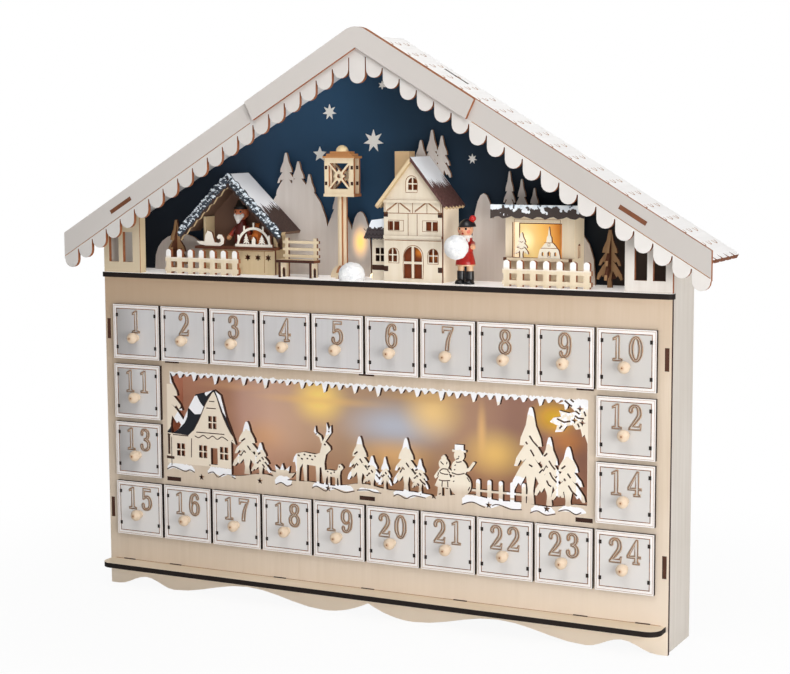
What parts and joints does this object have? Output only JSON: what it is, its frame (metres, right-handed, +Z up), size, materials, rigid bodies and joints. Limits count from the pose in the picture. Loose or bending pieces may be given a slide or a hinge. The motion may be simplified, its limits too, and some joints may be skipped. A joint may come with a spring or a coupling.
{
  "type": "advent calendar house",
  "caption": "Lit plywood advent calendar: gabled house with a winter village stage above numbered pull-out drawers round a cut-out window scene.",
  "frame": {"origin": "centre of the bounding box on the ground, between the feet", "axes": "+X to the right seen from the front, +Y to the back, +Z up; the drawers open towards -Y"},
  "size_m": [0.4918, 0.076, 0.4064],
  "materials": {
    "birch_ply": "bare sanded birch plywood",
    "white_ply": "whitewashed plywood, laser-cut edges",
    "drawer_ply": "whitewashed plywood front on a bare plywood box",
    "snow_paint": "white paint on plywood",
    "picture_sheet": "translucent film with a soft colour wash",
    "lamp_resin": "clear warm-white diode",
    "lead_sleeve": "thin green sleeve",
    "black_plastic": "fine-grained moulded plastic",
    "cell_wrap": "plain shrink sleeve",
    "night_paint": "dark blue paint",
    "hill_ply": "thin whitewash on plywood",
    "village_ply": "bare birch plywood, laser-cut edges",
    "fir_ply": "brown stain",
    "roof_paint": "dark brown paint with painted snow",
    "red_paint": "satin paint on turned wood",
    "cotton_wool": "white cotton wool",
    "burnt_edge": "laser-burnt line"
  },
  "bodies": {
    "house": {"front_panel": "birch_ply", "side_left": "white_ply", "side_right": "white_ply", "back_panel": "birch_ply", "base_board": "birch_ply", "drawer_shelves": "birch_ply", "drawer_dividers": "birch_ply", "front_ledge": "birch_ply", "stage_floor": "snow_paint", "picture_sheet": "picture_sheet", "lamps": "lamp_resin", "lamp_lead": "lead_sleeve", "battery_box": "black_plastic", "battery_cells": "cell_wrap", "roof_left": "white_ply", "roof_right": "white_ply", "fascia_left": "white_ply", "fascia_right": "white_ply", "gable_chevron": "white_ply", "gable_panes": "white_ply", "sky_panel": "night_paint", "hill_panel": "hill_ply", "picket_fences": "village_ply", "crossed_firs": "fir_ply", "stall_walls": "village_ply", "stall_roof": "roof_paint", "stall_keeper": "red_paint", "park_bench": "village_ply", "lantern_post": "village_ply", "cottage_walls": "village_ply", "cottage_roof": "roof_paint", "child_figure": "red_paint", "snow_heaps": "cotton_wool", "shop_stall": "village_ply"},
    "drawer_01": {"drawer_01": "drawer_ply"},
    "drawer_02": {"drawer_02": "drawer_ply"},
    "drawer_03": {"drawer_03": "drawer_ply"},
    "drawer_04": {"drawer_04": "drawer_ply"},
    "drawer_05": {"drawer_05": "drawer_ply"},
    "drawer_06": {"drawer_06": "drawer_ply"},
    "drawer_07": {"drawer_07": "drawer_ply"},
    "drawer_08": {"drawer_08": "drawer_ply"},
    "drawer_09": {"drawer_09": "drawer_ply"},
    "drawer_10": {"drawer_10": "drawer_ply"},
    "drawer_11": {"drawer_11": "drawer_ply"},
    "drawer_12": {"drawer_12": "drawer_ply"},
    "drawer_13": {"drawer_13": "drawer_ply"},
    "drawer_14": {"drawer_14": "drawer_ply"},
    "drawer_15": {"drawer_15": "drawer_ply"},
    "drawer_16": {"drawer_16": "drawer_ply"},
    "drawer_17": {"drawer_17": "drawer_ply"},
    "drawer_18": {"drawer_18": "drawer_ply"},
    "drawer_19": {"drawer_19": "drawer_ply"},
    "drawer_20": {"drawer_20": "drawer_ply"},
    "drawer_21": {"drawer_21": "drawer_ply"},
    "drawer_22": {"drawer_22": "drawer_ply"},
    "drawer_23": {"drawer_23": "drawer_ply"},
    "drawer_24": {"drawer_24": "drawer_ply"},
    "battery_cover": {"battery_cover": "black_plastic"},
    "power_switch": {"power_switch": "black_plastic"}
  },
  "joints": [
    {"name": "drawer_01_slide", "type": "slide", "parent": "house", "child": "drawer_01", "axis": [0, -1, 0], "range_m": [0, 0.038]},
    {"name": "drawer_02_slide", "type": "slide", "parent": "house", "child": "drawer_02", "axis": [0, -1, 0], "range_m": [0, 0.038]},
    {"name": "drawer_03_slide", "type": "slide", "parent": "house", "child": "drawer_03", "axis": [0, -1, 0], "range_m": [0, 0.038]},
    {"name": "drawer_04_slide", "type": "slide", "parent": "house", "child": "drawer_04", "axis": [0, -1, 0], "range_m": [0, 0.038]},
    {"name": "drawer_05_slide", "type": "slide", "parent": "house", "child": "drawer_05", "axis": [0, -1, 0], "range_m": [0, 0.038]},
    {"name": "drawer_06_slide", "type": "slide", "parent": "house", "child": "drawer_06", "axis": [0, -1, 0], "range_m": [0, 0.038]},
    {"name": "drawer_07_slide", "type": "slide", "parent": "house", "child": "drawer_07", "axis": [0, -1, 0], "range_m": [0, 0.038]},
    {"name": "drawer_08_slide", "type": "slide", "parent": "house", "child": "drawer_08", "axis": [0, -1, 0], "range_m": [0, 0.038]},
    {"name": "drawer_09_slide", "type": "slide", "parent": "house", "child": "drawer_09", "axis": [0, -1, 0], "range_m": [0, 0.038]},
    {"name": "drawer_10_slide", "type": "slide", "parent": "house", "child": "drawer_10", "axis": [0, -1, 0], "range_m": [0, 0.038]},
    {"name": "drawer_11_slide", "type": "slide", "parent": "house", "child": "drawer_11", "axis": [0, -1, 0], "range_m": [0, 0.038]},
    {"name": "drawer_12_slide", "type": "slide", "parent": "house", "child": "drawer_12", "axis": [0, -1, 0], "range_m": [0, 0.038]},
    {"name": "drawer_13_slide", "type": "slide", "parent": "house", "child": "drawer_13", "axis": [0, -1, 0], "range_m": [0, 0.038]},
    {"name": "drawer_14_slide", "type": "slide", "parent": "house", "child": "drawer_14", "axis": [0, -1, 0], "range_m": [0, 0.038]},
    {"name": "drawer_15_slide", "type": "slide", "parent": "house", "child": "drawer_15", "axis": [0, -1, 0], "range_m": [0, 0.038]},
    {"name": "drawer_16_slide", "type": "slide", "parent": "house", "child": "drawer_16", "axis": [0, -1, 0], "range_m": [0, 0.038]},
    {"name": "drawer_17_slide", "type": "slide", "parent": "house", "child": "drawer_17", "axis": [0, -1, 0], "range_m": [0, 0.038]},
    {"name": "drawer_18_slide", "type": "slide", "parent": "house", "child": "drawer_18", "axis": [0, -1, 0], "range_m": [0, 0.038]},
    {"name": "drawer_19_slide", "type": "slide", "parent": "house", "child": "drawer_19", "axis": [0, -1, 0], "range_m": [0, 0.038]},
    {"name": "drawer_20_slide", "type": "slide", "parent": "house", "child": "drawer_20", "axis": [0, -1, 0], "range_m": [0, 0.038]},
    {"name": "drawer_21_slide", "type": "slide", "parent": "house", "child": "drawer_21", "axis": [0, -1, 0], "range_m": [0, 0.038]},
    {"name": "drawer_22_slide", "type": "slide", "parent": "house", "child": "drawer_22", "axis": [0, -1, 0], "range_m": [0, 0.038]},
    {"name": "drawer_23_slide", "type": "slide", "parent": "house", "child": "drawer_23", "axis": [0, -1, 0], "range_m": [0, 0.038]},
    {"name": "drawer_24_slide", "type": "slide", "parent": "house", "child": "drawer_24", "axis": [0, -1, 0], "range_m": [0, 0.038]},
    {"name": "battery_cover_slide", "type": "slide", "parent": "house", "child": "battery_cover", "axis": [1, 0, 0], "range_m": [0, 0.054]},
    {"name": "power_switch_slide", "type": "slide", "parent": "house", "child": "power_switch", "axis": [1, 0, 0], "range_m": [0, 0.004]}
  ]
}
